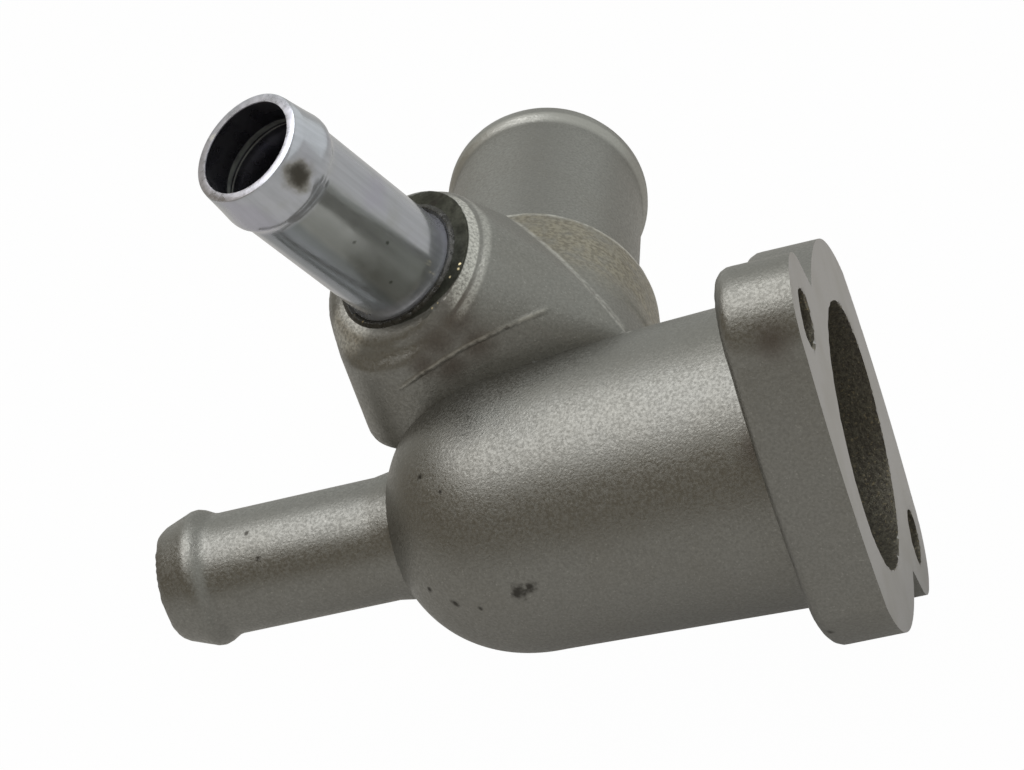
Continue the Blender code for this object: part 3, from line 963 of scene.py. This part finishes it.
def cast_material():
    """Blasted casting: fine grain, tan crescent, stains, pits and parting line; painted highlights on the
    collar's edges, the bead, the column's flank, the boss's shoulder and the parting ridge; painted glints; a
    dark coat on the boss, partly painted shade; painted shade underneath.
    """
    m = Nodes(bpy.data.materials.new("blasted_casting"))
    across, sideways, height = [m.along(axis) for axis in np.eye(3)]
    grain = m.noise(2400.0, 2.0, 0.6)
    base = m.mottled(grain, 0.34, 0.66, grey(0.25), grey(0.29))
    base = m.over(base, m.ramp(m.noise(55.0, 4.0, 0.55), 0.35, 0.7), grey(0.23, 0.04), 0.3)
    base = m.over(base, m.ramp(m.noise(2900.0, 1.0), 0.66, 0.76), grey(0.7), 0.18)

    past_seam = m.math("SUBTRACT", m.along(SEAM_NORMAL), SEAM_OFFSET)
    tan, painted_edge_highlight, painted_bead_highlight, bead_highlight_tone = collar_masks(m, past_seam, height, sideways)
    base = m.mix(tan, base, m.mottled(m.noise(1400.0, 3.0), 0.35, 0.65, TAN_DARK, TAN_LIGHT))
    # Painted highlight: light lines along the collar's rim and the seam edge
    base = m.over(base, painted_edge_highlight, grey(0.68), 0.75)
    # Painted highlight: the light arc on the bead
    base = m.over(base, painted_bead_highlight, bead_highlight_tone, 0.9)

    brown = m.most(*[m.blot(place, 0.0, 1.6 * radius, 0.7) for place, radius in STAINS])
    base = m.over(base, brown, STAIN_TONE, 0.6)
    # Painted highlight: a pale grainy patch on the column's left flank
    painted_flank_highlight = m.product(m.blot(FLANK_HIGHLIGHT_AT, 3.0, 2.6, 0.8), m.ramp(m.noise(2100.0, 2.0), 0.35, 0.62, 0.35, 1.0))
    base = m.over(base, painted_flank_highlight, grey(0.68), 0.9)

    painted_boss_highlight, coat_and_shade = boss_masks(m)
    # Painted highlight on the boss's shoulder and the ring below it
    base = m.mix(painted_boss_highlight, base, grey(0.72))
    # Dark coat on the boss's face, partly residue and partly painted shade
    base = m.mix(coat_and_shade, base, m.mottled(m.noise(420.0, 4.0), 0.35, 0.65, COAT_AND_SHADE_DARK, COAT_AND_SHADE_LIGHT))
    # Painted highlight: golden glints laid into the base colour
    base = m.mix(m.pits(PAINTED_GLINTS), base, PAINTED_GLINT_TONE)
    base = m.over(base, m.pits(PITS), PIT_TONE, 0.85)
    # Painted shade: the chamber darker towards its bottom, near the floor
    under = m.product(m.ramp(height, -17.5, -23.0), m.ramp(across, -9.0, -12.0))
    base = m.over(base, under, PAINTED_UNDER_SHADE, 0.6)

    ridge = parting_ridge(m, across, sideways, height)
    # Painted highlight: the parting ridge lighter along its top
    worn = m.product(m.ramp(ridge, 0.2, 0.9), m.ramp(m.noise(800.0, 2.0), 0.35, 0.65, 0.1, 0.55))
    base = m.mix(worn, base, grey(0.55, 0.02))
    rough = m.ramp(m.noise(2200.0, 2.0, 0.6), 0.32, 0.68, 0.30, 0.52)
    rough = m.math("ADD", rough, m.math("MULTIPLY", m.most(brown, coat_and_shade), 0.12))
    normal = m.bump(ridge, 0.3 * MM, 0.45)
    normal = m.bump(m.noise(200.0, 3.0), 0.20 * MM, 0.2, normal)
    normal = m.bump(grain, 0.055 * MM, 0.9, normal)
    return m.surface(base, 0.92, rough, normal)


def machined_material():
    m = Nodes(bpy.data.materials.new("machined_face"))
    fine = m.noise(2200.0, 3.0)
    base = m.mottled(fine, 0.3, 0.7, MACHINED_DARK, MACHINED_LIGHT)
    base = m.over(base, m.ramp(m.noise(90.0, 3.0), 0.4, 0.7), grey(0.33, 0.03), 0.4)
    return m.surface(base, 0.9, m.ramp(fine, 0.3, 0.7, 0.30, 0.40), m.bump(fine, 0.02 * MM, 0.5))


def bore_material():
    m = Nodes(bpy.data.materials.new("rough_bore"))
    grain = m.noise(1500.0, 3.0, 0.65)
    base = m.mottled(grain, 0.35, 0.65, BORE_DARK, BORE_LIGHT)
    base = m.over(base, m.ramp(m.noise(2400.0, 2.0), 0.60, 0.70), BORE_SPECK, 0.35)
    return m.surface(base, 0.6, 0.45, m.bump(grain, 0.2 * MM, 0.5))


def plated_material():
    """Plating with drawn streaks along the pipe, painted reflections in long bands on its sides, faint lilac
    and olive clouds, dark specks and a smudge.
    """
    m = Nodes(bpy.data.materials.new("bright_plating"))
    turn = m.add("ShaderNodeMapping")
    turn.inputs["Rotation"].default_value = Vector(PIPE_DIR).to_track_quat("Z", "Y").inverted().to_euler()
    m.link(m.point, turn.inputs["Vector"])
    stretch = m.add("ShaderNodeVectorMath", operation="MULTIPLY")
    m.link(turn.outputs["Vector"], stretch.inputs[0])
    stretch.inputs[1].default_value = (1.0, 1.0, 0.05)
    streak = m.noise(900.0, 3.0, 0.6, stretch.outputs["Vector"])
    base = m.mottled(streak, 0.3, 0.7, PLATED_DARK, PLATED_LIGHT)
    base = m.over(base, m.ramp(m.noise(130.0, 3.0, 0.6), 0.5, 0.75), PLATED_OLIVE, 0.35)
    base = m.over(base, m.ramp(m.noise(90.0, 2.0, 0.5), 0.55, 0.7), PLATED_LILAC, 0.4)
    body = m.band(m.past(PIPE_FOOT, PIPE_DIR), 1.0, 3.0, 25.5, 27.0)
    # Painted reflections: long bands of tone on the sides of the pipe that face the given ways
    for toward, start, full, strength, tone in PIPE_PAINTED_REFLECTIONS:
        near = m.math("ADD", m.past(PIPE_FOOT, toward), m.sway(160.0, 0.5))
        base = m.mix(m.product(m.ramp(near, start, full), body, strength), base, tone)
    base = m.over(base, m.pits(PIPE_PITS), PIPE_PIT_TONE, 0.7)
    smudge = m.blot(PIPE_SMUDGE_AT, 0.4, 3.2, 1.2, 600.0)
    base = m.over(base, m.ramp(smudge, 0.0, 0.6), SMUDGE_EDGE, 0.6)
    base = m.over(base, m.ramp(smudge, 0.3, 1.0), SMUDGE_TONE, 0.9)
    rough = m.ramp(m.noise(500.0, 3.0), 0.3, 0.7, 0.12, 0.20)
    normal = m.bump(streak, 0.012 * MM, 0.35)
    normal = m.bump(m.noise(150.0, 2.0), 0.12 * MM, 0.25, normal)
    return m.surface(base, 0.68, rough, normal)


def pipe_inside_material():
    """Duller plating, with a painted reflection in a pale band at the groove behind the bead and a painted
    highlight line at the groove's edge.
    """
    m = Nodes(bpy.data.materials.new("pipe_inside"))
    cloud = m.noise(300.0, 3.0)
    base = m.mottled(cloud, 0.3, 0.7, INSIDE_DARK, INSIDE_LIGHT)
    height = m.past(PIPE_FOOT, PIPE_DIR)
    painted_groove_highlight = m.band(height, 28.6, 29.0, 29.7, 30.1)
    painted_line_highlight = m.band(height, 28.05, 28.3, 28.4, 28.6)
    # Painted reflection: a pale band at the groove, and a painted highlight line at its edge
    base = m.mix(m.product(painted_groove_highlight, m.ramp(cloud, 0.3, 0.6, 0.5, 0.9)), base, PAINTED_GROOVE_HIGHLIGHT)
    base = m.mix(painted_line_highlight, base, PAINTED_LINE_HIGHLIGHT)
    rough = m.ramp(cloud, 0.3, 0.7, 0.22, 0.34)
    rough = m.math("ADD", rough, m.math("MULTIPLY", m.most(painted_groove_highlight, painted_line_highlight), 0.35))
    return m.surface(base, 0.9, rough, m.bump(m.noise(1500.0, 2.0), 0.02 * MM, 0.4))


def pipe_rim_material():
    """Bare edge of the pipe's mouth, with a few painted highlights: white sparkles where it has burrs."""
    m = Nodes(bpy.data.materials.new("pipe_rim"))
    cloud = m.noise(700.0, 3.0)
    base = m.mottled(cloud, 0.3, 0.7, RIM_DARK, RIM_LIGHT)
    # Painted highlight: white sparkles in the base colour
    base = m.mix(m.pits(RIM_PAINTED_SPARKLES), base, WHITE)
    rough = m.ramp(cloud, 0.3, 0.7, 0.24, 0.38)
    return m.surface(base, 0.95, rough, m.bump(m.noise(1800.0, 2.0), 0.03 * MM, 0.6))


def sealant_material():
    """Lumpy black, with a few golden flecks that are painted glints."""
    m = Nodes(bpy.data.materials.new("black_sealant"))
    lump = m.noise(700.0, 3.0)
    base = m.mottled(lump, 0.3, 0.7, SEALANT_DARK, SEALANT_LIGHT)
    # Painted glints: golden flecks scattered in the base colour
    base = m.mix(m.ramp(m.noise(900.0, 2.0), 0.70, 0.75), base, PAINTED_GLINT_FLECK_TONE)
    return m.surface(base, 0.0, m.ramp(lump, 0.3, 0.7, 0.18, 0.4), m.bump(lump, 0.35 * MM, 0.9))


# Pieces

def add_piece(obj, node, materials):
    """Gives an object its materials and puts it in place of a node of the solids."""
    for mat in materials:
        obj.data.materials.append(mat)
    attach(obj, "root")
    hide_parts(node)


def onto_valley(field, verts):
    """Moves points that lie close to the valley between chamber and hub onto it, so that it shades evenly."""
    near = (np.abs(field.lower(verts)) < VALLEY_NEAR) & (np.abs(field.upper(verts)) < VALLEY_NEAR)
    start = verts[near]
    moved = start.copy()
    for _ in range(VALLEY_STEPS):
        for part in (field.lower, field.upper):
            moved -= part(moved)[:, None] * gradient(part, moved)
    far = np.linalg.norm(moved - start, axis=1) > 2.0 * VALLEY_NEAR
    moved[far] = start[far]
    verts[near] = moved
    return verts


def casting():
    """The casting in one mesh; its mating face and its bores have materials of their own."""
    field = Casting()
    verts, quads = contour(field, *CASTING_BOX, CELL)
    verts = onto_valley(field, verts)
    verts = np.clip(verts, np.array(cad_box[0]) / MM, np.array(cad_box[1]) / MM)
    obj = mesh_object("casting", verts, quads, CASTING_CREASE)
    add_piece(obj, "housing", [cast_material(), machined_material(), bore_material()])
    mesh = obj.data
    count = len(mesh.polygons)
    centers = np.empty(count * 3)
    normals = np.empty(count * 3)
    mesh.polygons.foreach_get("center", centers)
    mesh.polygons.foreach_get("normal", normals)
    centers = centers.reshape(-1, 3) / MM
    normals = normals.reshape(-1, 3)
    which = np.zeros(count, int)
    which[(centers[:, 0] > -MACHINED_DEPTH) & (normals[:, 0] > MACHINED_FACING)] = 1
    inner = np.zeros(count, bool)
    for core in field.cores:
        inner |= np.abs(core(centers)) < BORE_NEAR
    which[inner & (which == 0)] = 2
    mesh.polygons.foreach_set("material_index", which)
    mesh.update()


def pipe():
    """Pipe with a bead below its mouth and a small flare at the boss; its inside and rim look different."""
    inner = PIPE_R - PIPE_WALL
    outside = [(r, PIPE_OUT - depth) for r, depth in PIPE_MOUTH_OUTSIDE]
    outside += [(PIPE_R, h) for h in np.linspace(PIPE_OUT - 12.0, 3.5, 5)]
    outside += [(PIPE_R + extra, h) for extra, h in PIPE_FLARE]
    outside += [(PIPE_R, h) for h in np.linspace(-0.5, -PIPE_IN, 4)]
    inside = [(inner, h) for h in np.linspace(-PIPE_IN, PIPE_OUT - 10.0, 8)]
    inside += [(inner + extra, PIPE_OUT - depth) for extra, depth in PIPE_MOUTH_INSIDE]
    profile = outside + inside
    obj = turned_mesh("pressed_pipe", profile, PIPE_FOOT, PIPE_DIR, 128, PIPE_CREASE)
    last = len(profile) - 1
    for face in obj.data.polygons:
        rows = [v % len(profile) for v in face.vertices]
        if min(rows) >= len(outside):
            face.material_index = 1
        elif set(rows) == {0, last}:
            face.material_index = 2
    add_piece(obj, "pipe", [plated_material(), pipe_inside_material(), pipe_rim_material()])


def sealant():
    obj = turned_mesh("sealant_bead", SEALANT_PROFILE, PIPE_FOOT, PIPE_DIR, 160, SEALANT_CREASE)
    add_piece(obj, "sealant", [sealant_material()])


def stage():
    """Pale floor: nearly white to the camera, faintly bright in reflections, and it keeps the shadow."""
    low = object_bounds()[0][2]
    mesh = bpy.data.meshes.new("floor")
    corners = [(x * FLOOR_HALF, y * FLOOR_HALF, low) for x, y in ((-1, -1), (1, -1), (1, 1), (-1, 1))]
    mesh.from_pydata(corners, [], [(0, 1, 2, 3)])
    floor = bpy.data.objects.new("floor", mesh)
    bpy.context.scene.collection.objects.link(floor)
    m = Nodes(bpy.data.materials.new("white_floor"))
    shader = m.tree.nodes["Principled BSDF"]
    shader.inputs["Base Color"].default_value = FLOOR_TONE
    shader.inputs["Roughness"].default_value = 0.9
    shader.inputs["Specular IOR Level"].default_value = 0.1
    glow = m.add("ShaderNodeEmission")
    glow.inputs["Strength"].default_value = 1.0
    path = m.add("ShaderNodeLightPath").outputs
    seen = m.math("MULTIPLY", path["Is Camera Ray"], FLOOR_SEEN)
    mirrored = m.math("MAXIMUM", path["Is Glossy Ray"], path["Is Transmission Ray"])
    mix = m.add("ShaderNodeMixShader")
    m.link(m.math("MAXIMUM", seen, m.math("MULTIPLY", mirrored, FLOOR_MIRRORED)), mix.inputs[0])
    m.link(shader.outputs[0], mix.inputs[1])
    m.link(glow.outputs[0], mix.inputs[2])
    m.link(mix.outputs[0], m.tree.nodes["Material Output"].inputs["Surface"])
    mesh.materials.append(m.owner)
    floor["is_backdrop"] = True


def world():
    """White to the camera; to the object a soft room, dimmer and warmer on one side and in a strip at +Y."""
    studio = bpy.data.worlds.new("studio")
    bpy.context.scene.world = studio
    m = Nodes(studio)
    way = m.coords["Generated"]
    room = m.mix(m.ramp(m.dot(way, ROOM_BRIGHT_WAY), -0.65, 0.35), ROOM_DIM, ROOM_BRIGHT)
    strip = m.ramp(m.math("ABSOLUTE", m.dot(way, (1.0, 0.0, 0.0))), STRIP_HALF, 0.0, 0.0, STRIP_SHARE)
    strip = m.product(strip, m.ramp(m.dot(way, (0.0, 1.0, 0.0)), 0.3, 0.8))
    room = m.mix(strip, room, STRIP_TONE)
    camera_ray = m.add("ShaderNodeLightPath").outputs["Is Camera Ray"]
    back = m.tree.nodes["Background"]
    m.link(m.mix(camera_ray, room, WHITE), back.inputs["Color"])
    back.inputs["Strength"].default_value = 1.0


def softbox():
    """One large square lamp overhead."""
    data = bpy.data.lights.new("softbox", "AREA")
    data.shape = "SQUARE"
    data.size = SOFTBOX_SIDE
    data.energy = SOFTBOX_WATTS
    obj = bpy.data.objects.new("softbox", data)
    bpy.context.scene.collection.objects.link(obj)
    obj.location = SOFTBOX_AT
    obj.rotation_euler = (Vector(SOFTBOX_AT) - Vector(SOFTBOX_AIM)).to_track_quat("Z", "Y").to_euler()


def camera():
    """Fitted to the bolt holes, the bore and the pipe's mouth in the photograph."""
    x = Vector(CAMERA_X).normalized()
    y = Vector(CAMERA_Y)
    y = (y - x * x.dot(y)).normalized()
    turn = Matrix((x, y, x.cross(y)))
    place = -(turn @ Vector(CAMERA_OFFSET)) * MM
    data = bpy.data.cameras.new("view")
    data.sensor_width = SENSOR_WIDTH
    data.lens = LENS_PIXELS / PHOTO_WIDTH * SENSOR_WIDTH
    data.clip_start = 0.01
    data.clip_end = 50.0
    obj = bpy.data.objects.new("view", data)
    bpy.context.scene.collection.objects.link(obj)
    right = turn @ Vector((1.0, 0.0, 0.0))
    up = turn @ Vector((0.0, -1.0, 0.0))
    back = turn @ Vector((0.0, 0.0, -1.0))
    obj.matrix_world = Matrix.Translation(place) @ Matrix((right, up, back)).transposed().to_4x4()
    bpy.context.scene.camera = obj


camera()
world()
casting()
pipe()
sealant()
stage()
softbox()
bpy.context.scene.view_settings.view_transform = "Standard"
